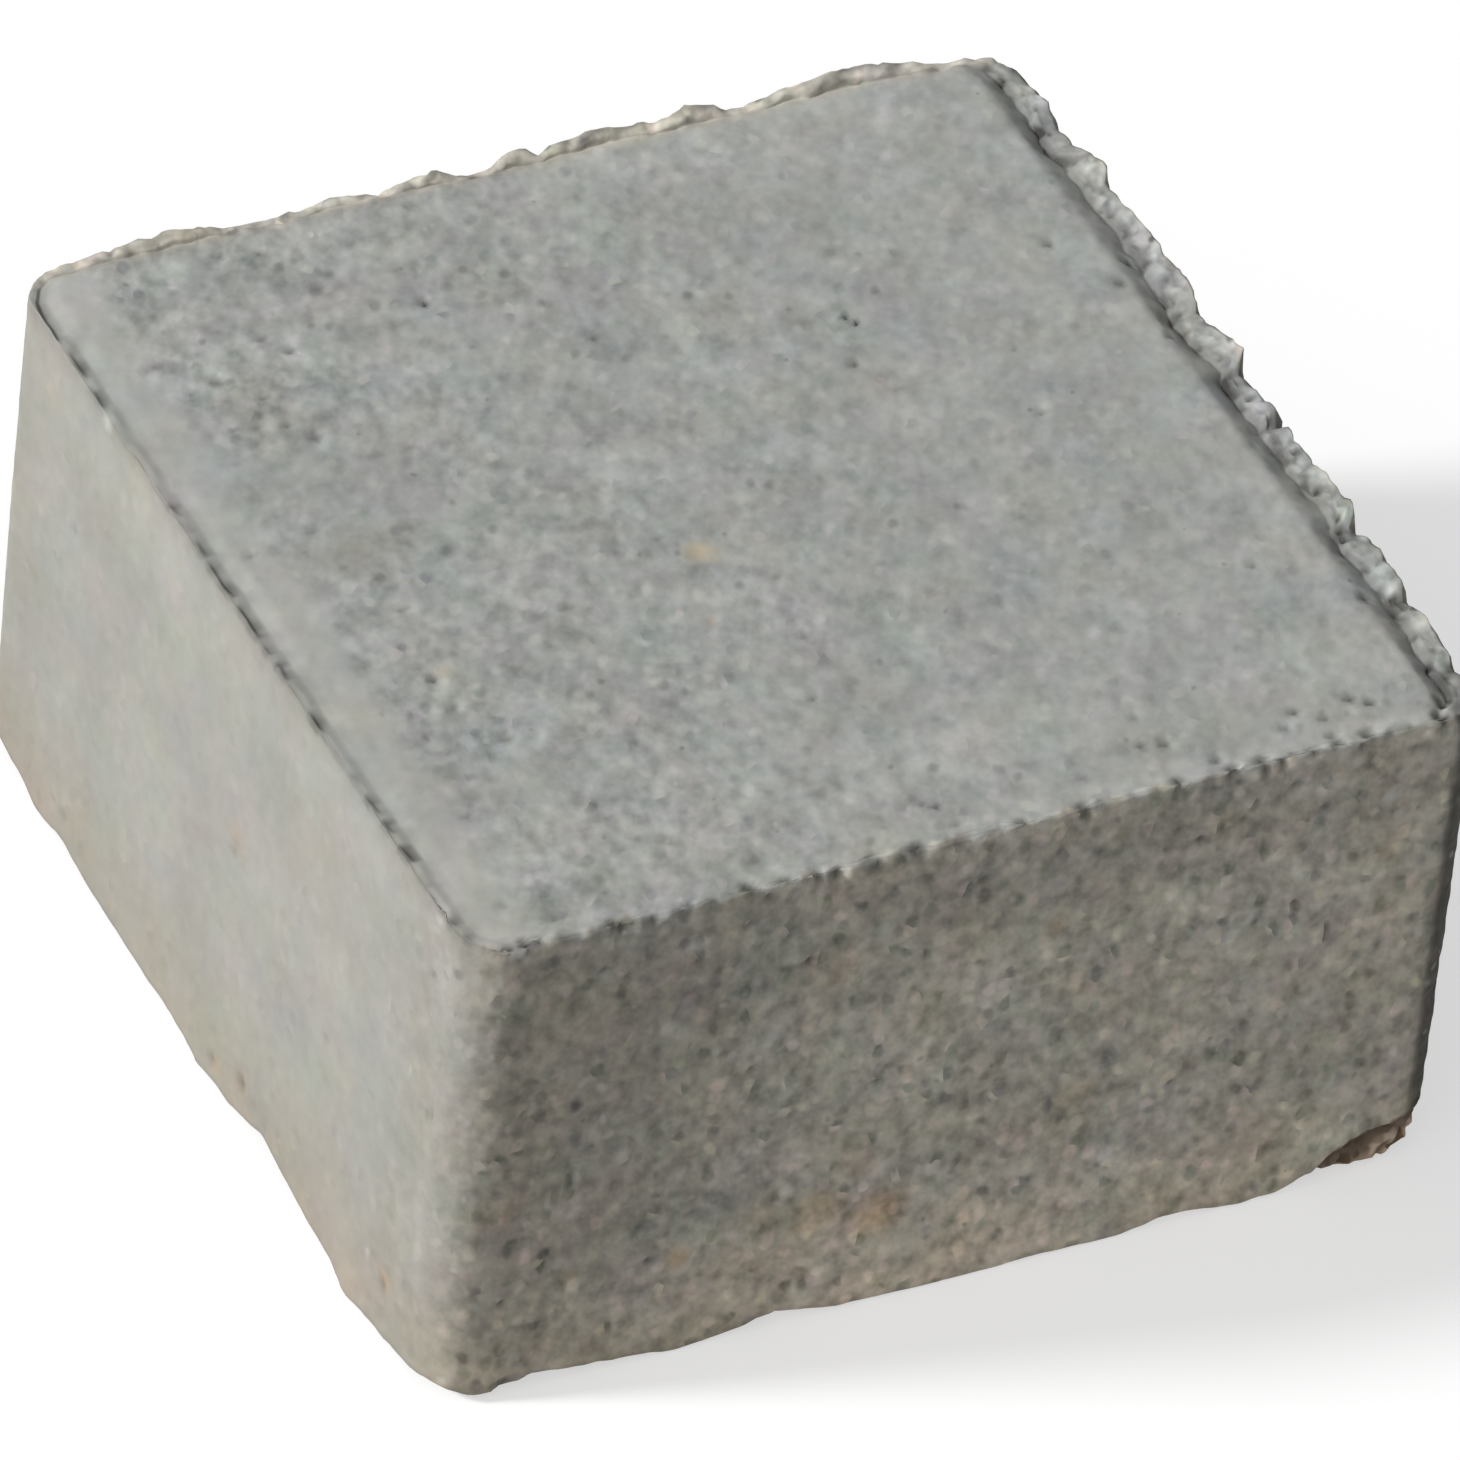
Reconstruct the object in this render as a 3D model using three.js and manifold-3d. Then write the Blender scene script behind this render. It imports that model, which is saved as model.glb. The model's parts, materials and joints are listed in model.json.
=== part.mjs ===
// A concrete paving stone, pressed in one piece: a square block with rounded upright corners.
// The press plate is smaller than the mould and chamfered round its edge. Outside the chamfer lies a
// groove, and outside the groove a ragged burr of concrete that rose between plate and mould. The
// burr is wide and broken on the right, low at the back and front, and worn off on the left, where
// only a narrow groove is left. One lower corner has spalled.
// Millimetres, +Z up. The origin is the middle of the bed face, which lies on the ground plane.

import * as THREE from 'three';
import { ImprovedNoise } from 'three/addons/math/ImprovedNoise.js';
import { mergeVertices } from 'three/addons/utils/BufferGeometryUtils.js';
import Module from 'manifold-3d';

// Block
const blockLength = 150;
const blockWidth = 150;
const blockHeight = 80;
const cornerRadius = 7.5;

// Pressed rim, from the side of the block inwards. What differs from side to side is given for each
// side: left is -X and front is -Y.
const crestInset = 0.4;
const burrWidth = { left: 0.2, right: 2.0, back: 1.3, front: 0.7 };
const burrFlank = { left: 0.5, right: 0.9, back: 0.5, front: 0.4 };
const chamferWidth = { left: 3.2, right: 3.6, back: 1.3, front: 1.5 };
const grooveDepth = { left: 1.0, right: 1.8, back: 0.3, front: 0.3 };

// The burr's crest, against the wearing face: its mean height, and how far it strays from that
const crestRise = { left: -0.4, right: 0.2, back: 0.0, front: -0.1 };
const crestRaggedness = { left: 0.25, right: 1.4, back: 1.2, front: 0.5 };
const crestPitch = 6.5;

// The burr's top falls inwards from its crest, to this share of the groove's depth
const innerEdgeShare = 0.4;

// How far below its crest the burr starts to lean in from the side
const shoulderDrop = 2.0;

// Broken lower arris
const bedArris = { left: 1.1, right: 0.9, back: 0.9, front: 1.0 };
const arrisWaviness = 1.1;
const arrisPitch = 17;

// Spall at the lower front right corner: a rounded hollow, placed from the corner's two faces
const spallLength = 30;
const spallWidth = 8;
const spallHeight = 16;
const spallBack = 3;
const spallOut = 1;
const spallRise = 1.5;
const spallRoughness = 0.14;
const spallPitch = 4;

// Fineness of the mesh, and the least radius that a drawn-in corner keeps
const sideStep = 1.8;
const cornerSteps = 8;
const spallDetail = 4;
const leastRadius = 0.5;

const noise = new ImprovedNoise();
const quarterTurn = Math.PI / 2;

// A value for each side, worked out by a rule
function eachSide(rule) {
  return { left: rule('left'), right: rule('right'), back: rule('back'), front: rule('front') };
}

// How far in the rings of the rim lie
const crestRing = eachSide(() => crestInset);
const burrEdgeRing = eachSide((side) => crestInset + burrWidth[side]);
const grooveRing = eachSide((side) => burrEdgeRing[side] + burrFlank[side]);
const rimRing = eachSide((side) => grooveRing[side] + chamferWidth[side]);
const sideRing = eachSide(() => 0);

// The value of a size that differs from side to side, blended round the corners by the direction
// that the outline faces there
function onSide(values, angle) {
  const x = Math.cos(angle);
  const y = Math.sin(angle);
  return x * x * (x > 0 ? values.right : values.left) + y * y * (y > 0 ? values.back : values.front);
}

// A point of one rounded corner, with the outline drawn in by its inset on each side. Corner 0 is
// front right, and they run anticlockwise.
function cornerPoint(corner, angle, inset) {
  const middle = (corner - 0.5) * quarterTurn;
  const insetX = Math.cos(middle) > 0 ? inset.right : inset.left;
  const insetY = Math.sin(middle) > 0 ? inset.back : inset.front;
  const radius = Math.max(cornerRadius - Math.min(insetX, insetY), leastRadius);
  const x = Math.sign(Math.cos(middle)) * (blockLength / 2 - insetX - radius);
  const y = Math.sign(Math.sin(middle)) * (blockWidth / 2 - insetY - radius);
  return new THREE.Vector2(x + radius * Math.cos(angle), y + radius * Math.sin(angle));
}

// The stations at which the section is placed: round each corner, and then along the side after it
function outlineStations() {
  const stations = [];
  for (let corner = 0; corner < 4; corner++) {
    const start = (corner - 1) * quarterTurn;
    const end = start + quarterTurn;
    for (let step = 0; step <= cornerSteps; step++) {
      const angle = start + (quarterTurn * step) / cornerSteps;
      stations.push({ angle, at: (inset) => cornerPoint(corner, angle, inset) });
    }
    const next = (corner + 1) % 4;
    const length = cornerPoint(corner, end, sideRing).distanceTo(cornerPoint(next, end, sideRing));
    const steps = Math.ceil(length / sideStep);
    for (let step = 1; step < steps; step++) {
      const from = (inset) => cornerPoint(corner, end, inset);
      const at = (inset) => from(inset).lerp(cornerPoint(next, end, inset), step / steps);
      stations.push({ angle: end, at });
    }
  }
  return stations;
}

// The block's section at one station, from the edge of the bed face up to the edge of the wearing
// face: how far in from the sides, and how high
function section(station) {
  const side = station.at(sideRing);
  const ragged = (pitch, layer) => noise.noise(side.x / pitch, side.y / pitch, layer);
  const straying = onSide(crestRaggedness, station.angle);
  const outerStray = straying * (ragged(crestPitch, 0) + ragged(crestPitch / 3, 1) / 2);
  const innerStray = (straying * ragged(crestPitch, 3)) / 2;
  const crest = blockHeight + onSide(crestRise, station.angle) + outerStray;
  const depth = onSide(grooveDepth, station.angle);
  const arris = onSide(bedArris, station.angle) * (1 + arrisWaviness * ragged(arrisPitch, 2));
  return [
    { inset: eachSide(() => arris), z: 0 },
    { inset: sideRing, z: arris },
    { inset: sideRing, z: crest - shoulderDrop },
    { inset: crestRing, z: crest },
    { inset: burrEdgeRing, z: blockHeight - innerEdgeShare * depth + innerStray },
    { inset: grooveRing, z: blockHeight - depth },
    { inset: rimRing, z: blockHeight },
  ];
}

// A closed skin through the sections, with the two flat faces as fans about their middles
function loftedBlock() {
  const stations = outlineStations();
  const sections = stations.map(section);
  const count = stations.length;
  const levels = sections[0].length;
  const positions = [];
  for (let level = 0; level < levels; level++) {
    stations.forEach((station, index) => {
      const { inset, z } = sections[index][level];
      const point = station.at(inset);
      positions.push(point.x, point.y, z);
    });
  }
  const bedMiddle = levels * count;
  const topMiddle = bedMiddle + 1;
  positions.push(0, 0, 0);
  positions.push(0, 0, blockHeight);

  const triangles = [];
  for (let index = 0; index < count; index++) {
    const next = (index + 1) % count;
    triangles.push(bedMiddle, next, index);
    for (let level = 0; level < levels - 1; level++) {
      const low = level * count;
      const high = low + count;
      triangles.push(low + index, low + next, high + next);
      triangles.push(low + index, high + next, high + index);
    }
    const top = (levels - 1) * count;
    triangles.push(topMiddle, top + index, top + next);
  }
  const geometry = new THREE.BufferGeometry();
  geometry.setAttribute('position', new THREE.Float32BufferAttribute(positions, 3));
  geometry.setIndex(triangles);
  return geometry;
}

// What broke away at the corner: a rounded lump with an uneven skin, set mostly outside the block
function spallLump() {
  const lump = new THREE.IcosahedronGeometry(1, spallDetail);
  lump.deleteAttribute('normal');
  lump.deleteAttribute('uv');
  lump.scale(spallLength / 2, spallWidth / 2, spallHeight / 2);
  const merged = mergeVertices(lump);
  const position = merged.getAttribute('position');
  const point = new THREE.Vector3();
  for (let index = 0; index < position.count; index++) {
    point.fromBufferAttribute(position, index);
    const bump = noise.noise(point.x / spallPitch, point.y / spallPitch, point.z / spallPitch);
    point.multiplyScalar(1 + spallRoughness * bump);
    position.setXYZ(index, point.x, point.y, point.z);
  }
  merged.translate(blockLength / 2 - spallBack, -blockWidth / 2 - spallOut, spallRise);
  return merged;
}

const wasm = await Module();
wasm.setup();

function solidOf(geometry) {
  return new wasm.Manifold(new wasm.Mesh({
    numProp: 3,
    vertProperties: Float32Array.from(geometry.getAttribute('position').array),
    triVerts: Uint32Array.from(geometry.getIndex().array),
  }));
}

function geometryOf(solid) {
  const mesh = solid.getMesh();
  const geometry = new THREE.BufferGeometry();
  geometry.setAttribute('position', new THREE.Float32BufferAttribute(mesh.vertProperties, 3));
  geometry.setIndex(Array.from(mesh.triVerts));
  geometry.computeVertexNormals();
  return geometry;
}

const concrete = new THREE.MeshStandardMaterial({ color: '#a6a7a1', roughness: 0.95, metalness: 0 });
concrete.name = 'concrete';

const block = solidOf(loftedBlock()).subtract(solidOf(spallLump()));
const stone = new THREE.Mesh(geometryOf(block), concrete);
stone.name = 'paving_stone';

const pavingStone = new THREE.Group();
pavingStone.name = 'concrete_paving_stone';
pavingStone.add(stone);

export default pavingStone;
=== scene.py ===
"""A square pressed concrete paving stone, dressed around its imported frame.

The stone is one cast piece. Its mesh is a fine grid for the wearing face, with a skirt that is
shaped into the pressed rim, the four sides and the lower arris, and a coarser grid for the bed
face. Relief then goes in by moving the points: grain, pores, a ragged burr and a spalled corner.
"""

import json
import math

import bmesh
import bpy
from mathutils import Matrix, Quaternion, Vector, kdtree, noise


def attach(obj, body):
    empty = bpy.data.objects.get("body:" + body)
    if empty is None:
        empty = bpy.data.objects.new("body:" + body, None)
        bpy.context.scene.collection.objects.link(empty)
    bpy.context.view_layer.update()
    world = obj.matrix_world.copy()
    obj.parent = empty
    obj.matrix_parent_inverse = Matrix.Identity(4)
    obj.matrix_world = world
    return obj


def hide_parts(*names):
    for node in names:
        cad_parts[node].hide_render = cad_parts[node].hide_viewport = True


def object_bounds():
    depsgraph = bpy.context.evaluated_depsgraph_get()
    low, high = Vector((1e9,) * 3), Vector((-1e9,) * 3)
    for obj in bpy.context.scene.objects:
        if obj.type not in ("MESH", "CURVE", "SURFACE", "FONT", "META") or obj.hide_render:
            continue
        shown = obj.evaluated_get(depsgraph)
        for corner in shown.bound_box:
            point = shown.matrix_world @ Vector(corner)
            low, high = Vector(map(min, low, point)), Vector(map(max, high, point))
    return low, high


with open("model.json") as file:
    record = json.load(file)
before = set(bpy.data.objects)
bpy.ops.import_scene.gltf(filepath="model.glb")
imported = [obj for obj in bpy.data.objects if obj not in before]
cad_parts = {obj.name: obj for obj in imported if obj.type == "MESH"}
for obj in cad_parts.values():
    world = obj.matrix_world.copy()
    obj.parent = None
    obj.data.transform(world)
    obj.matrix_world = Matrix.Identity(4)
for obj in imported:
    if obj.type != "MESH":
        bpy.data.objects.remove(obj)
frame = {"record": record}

bl_info = {
    "name": "Concrete Paving Stone",
    "version": (1, 0, 0),
    "blender": (4, 5, 0),
    "location": "View3D > Sidebar > Paving Stone",
    "description": "Casts a square concrete paving stone with a pressed rim, and sets up its studio",
    "category": "Add Mesh",
}

NODE = "paving_stone"
PIECE = "concrete_stone"
MM = 0.001

CAD_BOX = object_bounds()
CAD_SIZE = CAD_BOX[1] - CAD_BOX[0]
MOUNTS = {mount["name"]: mount for mount in frame["record"]["mounts"]}
FACE_HEIGHT = MOUNTS["wearing_face"]["pos_m"][2]

# The order in which sizes that differ from side to side are given
LEFT, RIGHT, BACK, FRONT = range(4)


# Sizes and colours


def length(name, description, default):
    """A size in metres."""
    return bpy.props.FloatProperty(name=name, description=description, default=default, unit="LENGTH")


def four_lengths(name, description, *millimetres):
    """A size for the left, right, back and front side, given in millimetres."""
    default = [value * MM for value in millimetres]
    return bpy.props.FloatVectorProperty(
        name=name, description=description, default=default, size=4, unit="LENGTH"
    )


def share(name, description, default):
    """A plain number."""
    return bpy.props.FloatProperty(name=name, description=description, default=default)


def angle(name, description, degrees):
    """An angle, given in degrees."""
    return bpy.props.FloatProperty(
        name=name, description=description, default=math.radians(degrees), subtype="ANGLE"
    )


def colour(name, description, default):
    """A linear colour."""
    return bpy.props.FloatVectorProperty(
        name=name, description=description, default=default, size=3, subtype="COLOR"
    )


class StoneSizes(bpy.types.PropertyGroup):
    """The form of the cast block. Sizes with four values go left, right, back and front."""

    length: length("Length", "Side of the stone along X", CAD_SIZE.x)
    width: length("Width", "Side of the stone along Y", CAD_SIZE.y)
    height: length("Height", "From the bed face to the wearing face", FACE_HEIGHT)
    corner_radius: length("Corner radius", "Rounding of the upright corners", 7.5 * MM)
    crest_insets: four_lengths("Crest insets", "From the side to the burr's crest", 0.1, 0.55, 0.4, 0.15)
    burr_widths: four_lengths("Burr widths", "From the crest to the inner edge", 0.15, 1.85, 1.3, 0.5)
    burr_flanks: four_lengths("Burr flanks", "From the inner edge to the groove", 0.65, 1.2, 0.5, 0.4)
    chamfer_widths: four_lengths("Chamfer widths", "From the groove to the face", 3.5, 3.6, 1.3, 1.5)
    groove_depths: four_lengths("Groove depths", "Below the wearing face", 0.6, 1.8, 0.3, 0.1)
    crest_rises: four_lengths("Crest rises", "Of the burr above the wearing face", -0.45, -0.1, 0.0, -0.2)
    shoulder_drops: four_lengths("Shoulder drops", "From the crest to the plain side", 1.5, 2.0, 2.0, 1.4)
    bed_arrises: four_lengths("Bed arrises", "Broken lower edges", 0.6, 0.9, 0.9, 0.7)


class StoneColours(bpy.types.PropertyGroup):
    """The colours of the dry concrete."""

    wearing: colour("Wearing face", "Pressed cement skin of the top", (0.3325, 0.341, 0.323))
    smooth_side: colour("Smooth side", "Cement skin of the left side", (0.321, 0.315, 0.284))
    rough_side: colour("Rough side", "Dusty open grain of the other sides", (0.371, 0.353, 0.304))
    dust: colour("Dust", "Reddish brown dust", (0.42, 0.32, 0.21))
    # Painted shade: the dark inside of pores and hollows
    hollow_shade: colour("Hollow", "Dark inside of pores", (0.045, 0.043, 0.038))
    pale_grain: colour("Pale grain", "Light aggregate at the surface", (0.5, 0.5, 0.46))
    broken_dark: colour("Broken dark", "Brown matrix at the spalled corner", (0.24, 0.16, 0.085))
    broken_light: colour("Broken light", "Aggregate at the spalled corner", (0.8, 0.63, 0.5))
    # Painted shade under the spall's ledge and in the creases between its stones
    seam: colour("Seam", "Dark seams at the spalled corner", (0.035, 0.02, 0.01))
    rust: colour("Rust", "Rust spots", (0.54, 0.44, 0.29))


class StudioSettings(bpy.types.PropertyGroup):
    """The stage, its light and its camera."""

    key_strength: share("Key strength", "Strength of the soft sun", 3.1)
    key_softness: angle("Key softness", "Angle of the soft sun", 10)
    ambient: share("Ambient", "Strength of the brightest part of the surround", 0.9)
    floor_size: length("Floor size", "Side of the square floor", 6.0)
    floor_drop: length("Floor drop", "Of the floor, below the bed face", 0.05 * MM)
    floor_shade: share("Floor shade", "How much light the floor throws back", 0.5)
    azimuth: angle("Azimuth", "Of the camera, from the front", -29.414)
    elevation: angle("Elevation", "Of the camera", 40.341)
    roll: angle("Roll", "Of the camera", 6.249)
    distance: length("Distance", "From the camera to the stone's middle", 2.768)
    lens: share("Lens", "Focal length in millimetres", 504.54)
    aim_right: length("Aim right", "Of the stone's middle, in the picture", 0.928 * MM)
    aim_down: length("Aim down", "Below the stone's middle, in the picture", 2.142 * MM)


# The grain of the concrete: its places are in millimetres, and it is drawn out along a slant
GRAIN_TURN = (math.radians(49.7), 0, math.radians(-29.4))
GRAIN_SCALE = (MM, 1.12 * MM, 1.5 * MM)
BEND_DIRECTION = (0.1, 0.95, 0.4)

# Sizes in the grain, in millimetres
PATCH_SIZE = 4.5
STREAK_SIZE = 2.4
SAND_SIZE = 2.3
SPECK_SPACING = 2.8
SPECK_RADIUS = 0.85
LUMP_SIZE = 2.2
LUMP_HEIGHT = 0.3 * MM

# How strongly each part of the grain and the painted shade shows, and the share of the specks that are
# pores, which are painted shade
TOP_PATCH_CONTRAST = 0.42
SIDE_PATCH_CONTRAST = 0.2
STREAK_CONTRAST = 0.33
GRAIN_CONTRAST = 0.36
GRAIN_TINT = 0.11
SPECK_CONTRAST = 0.33
CRUMB_CONTRAST = 0.45
PALE_STRENGTH = 0.65
GRIME_AND_SHADE_STRENGTH = 0.85
PORE_SHARE = 0.38

KEY_DIRECTION = Vector((-0.806, 0.231, 0.545))
SKY_DIRECTION = Vector((-0.75, -0.5, 0.43)).normalized()
SEEN_FLOOR_SHADE = 0.5
SEEN_FLOOR_GLOW = 0.54
SENSOR_WIDTH = 36
CLIP_END = 100


# Damage and unevenness, in millimetres. A place along a side is counted from its middle, towards
# the right on the front and back, and towards the front on the left and right.


# Heights of the burr's crest over its mean height, at places along the side
CRESTS = {
    RIGHT: (
        (-68, -1.4), (-61, 0.3), (-56, -1.8), (-52.5, -0.6), (-49, 1.4), (-45, 4.1), (-42.6, 2.6),
        (-41.5, -0.2), (-37, 0.7), (-31, 2.6), (-25, 1.9), (-20.5, 3.3), (-14.5, 1.9), (-13.4, -0.3),
        (-10, 0.7), (-6.7, 2.2), (-4.6, 3.8), (-1.6, 4.4), (-0.4, -1.8), (2.6, -1.0), (7.6, 0.6),
        (9.9, 2.4), (11.2, 1.6), (11.8, -3.4), (12.8, 0.9), (18, 0.4), (26, 1.8), (32.4, 4.0),
        (34, -1.2), (35.6, -1.4), (38.3, 0.9), (41, 1.9), (43.6, 0.4), (45.9, 2.4), (48, 0.4),
        (49.5, -2.6), (54, 0.3), (61.5, -0.8), (66, -2.0),
    ),
    BACK: (
        (-70, -0.9), (-62.5, 0.0), (-59, 0.8), (-50.5, 1.4), (-46, 0.1), (-40, -1.1), (-34, -0.5),
        (-32.5, -0.9), (-28, 0.3), (-23.5, 0.1), (-20.5, -1.2), (-16, 0.3), (-12.5, 1.1), (-10, 0.0),
        (-7, -1.9), (-4, -1.1), (-2.5, 0.3), (0.5, 1.4), (2, 0.8), (3.5, -0.6), (6.5, 0.8), (11, 1.7),
        (17, 1.3), (21.5, 0.2), (26, 2.4), (30.5, 0.9), (32, -0.7), (35, -0.6), (39.5, 0.7), (44, 1.7),
        (48.5, 2.3), (54.5, 2.0), (60, 0.4), (63.5, -0.7), (70, -1.0),
    ),
    LEFT: ((-70, 0.0), (70, 0.0)),
    FRONT: ((-70, -0.3), (-40, 0.2), (-10, -0.1), (20, 0.3), (50, 0.0), (70, -0.4)),
}
CREST_GRIT = {LEFT: 0.15, RIGHT: 0.3, BACK: 0.25, FRONT: 0.3}

# Where the crest is low, it is broken back as well: how much of a knot's height it keeps, and how
# far it goes in for each millimetre of that height
CREST_SHARES = {LEFT: 1.0, RIGHT: 0.5, BACK: 0.75, FRONT: 1.0}
CREST_RETREATS = {LEFT: 0.0, RIGHT: 0.18, BACK: 0.2, FRONT: 0.0}

# How deep the gaps are between the grains that line the brink
SCALLOPS = {LEFT: 0.05, RIGHT: 0.25, BACK: 0.25, FRONT: 0.6}
SCALLOP_PITCH = 3.3

# How far the groove strays to and fro
WANDER = {LEFT: 0.5, RIGHT: 0.9, BACK: 0.2, FRONT: 0.1}

# How far the colour of the sides strays on to the top, and how much painted shade dulls the highlight of
# the rounded brink
JAGS = {LEFT: 0.2, RIGHT: 0.5, BACK: 0.4, FRONT: 2.2}
BRINK_PAINTED_SHADES = {LEFT: 0.15, RIGHT: 0.0, BACK: 0.0, FRONT: 0.2}

# How rough the rim and the sides are, and how open the burr is and how much grime and painted shade it has
RIM_ROUGHNESS = {LEFT: 0.2, RIGHT: 1.0, BACK: 0.8, FRONT: 0.7}
SIDE_ROUGHNESS = {LEFT: 0.18, RIGHT: 1.0, BACK: 1.0, FRONT: 1.0}
BURR_OPENNESS = {LEFT: 0.0, RIGHT: 1.0, BACK: 1.0, FRONT: 0.6}
BURR_GRIME_AND_SHADE = {LEFT: 0.0, RIGHT: 1.0, BACK: 0.2, FRONT: 0.0}

# Heights up to which the lower arris is broken, over its plain size. Below zero the concrete
# bulges out past the side by that much instead.
FEET = {
    LEFT: (
        (-72, 3.6), (-55, 0.2), (-45, 1.4), (-36, 0.0), (-12, 0.2), (0, -1.3), (10, 0.0), (20, 2.6),
        (30, 1.0), (40, -0.4), (50, -1.7), (60, -0.2), (70, 2.6), (75, 4.0),
    ),
    FRONT: (
        (-73, 1.0), (-66, 0.8), (-60, 2.4), (-50, 1.0), (-38, -0.3), (-30, 0.8), (-24, 2.2),
        (-15, 0.3), (-5, 0.2), (4, -0.4), (15, 0.0), (27, -0.2), (36, 1.1), (45, -0.2), (51, 0.0),
        (56, 2.3), (62, 1.4), (72, 1.4),
    ),
    RIGHT: ((-70, 2.0), (-52, 0.0), (-30, 1.2), (-14, -0.6), (12, 0.4), (30, 2.0), (48, 0.0), (70, 3.0)),
    BACK: ((-70, 3.0), (-48, 0.2), (-30, -0.8), (-8, 1.4), (16, 0.0), (40, 2.2), (56, 0.0), (70, 2.4)),
}

# How far the left groove is open everywhere, as a share of its depth, and how far from place to
# place on its open stretches
LEAST_OPENING = 0.25
CRACKS = (
    (-75, -61, 1.4), (-58.5, -52.5, 1.1), (-50, -45.5, 1.1), (-41, -37, 0.5), (-34, -32.5, 0.5),
    (-29, -25, 0.6), (-24.2, -21.2, 1.0), (-20, -16.5, 0.6), (-15.8, -12, 1.0), (-11, -3, 1.1),
    (-1.5, 5.5, 1.3), (7, 9.5, 0.9), (11, 14.8, 1.0), (22, 26, 1.2), (30.8, 32.3, 0.6),
    (34.8, 37, 0.7), (40, 43.8, 1.1), (45.2, 47.6, 1.2), (50.5, 54, 1.1), (58, 59.5, 0.7),
    (65.5, 68, 0.8), (69.8, 71.2, 0.9),
)

# The spall at the lower front right corner, with places counted along the outline from the middle
# of the front: its middle and reach along the outline and up, its depth, and how much deeper the
# corner itself is broken
SPALL_MIDDLE = (71.0, 1.0)
SPALL_REACH = (15.0, 7.3)
SPALL_DEPTH = 1.0
SPALL_CORNER = 0.7
SPALL_FADE = 12.0
SPALL_STONE_PITCH = 2.1
SPALL_STONE_HEIGHT = 1.3

# The plain faces near which spots are looked up: the height of the wearing face, and how far out
# the sides are
SPOT_HEIGHT = 80
SPOT_REACH = 75


def top_spots(*spots):
    """Spots of the wearing face, given by x, y, radius and strength."""
    return [(Vector((x, y, SPOT_HEIGHT)), radius, strength) for x, y, radius, strength in spots]


def left_spots(*spots):
    """Spots of the left side, given by the place along it, height, radius and strength."""
    return [(Vector((-SPOT_REACH, -at, z)), radius, strength) for at, z, radius, strength in spots]


def front_spots(*spots):
    """Spots of the front side, given by the place along it, height, radius and strength."""
    return [(Vector((at, -SPOT_REACH, z)), radius, strength) for at, z, radius, strength in spots]


# Pits of the skin: each is dented in and painted dark, as painted shade
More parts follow.
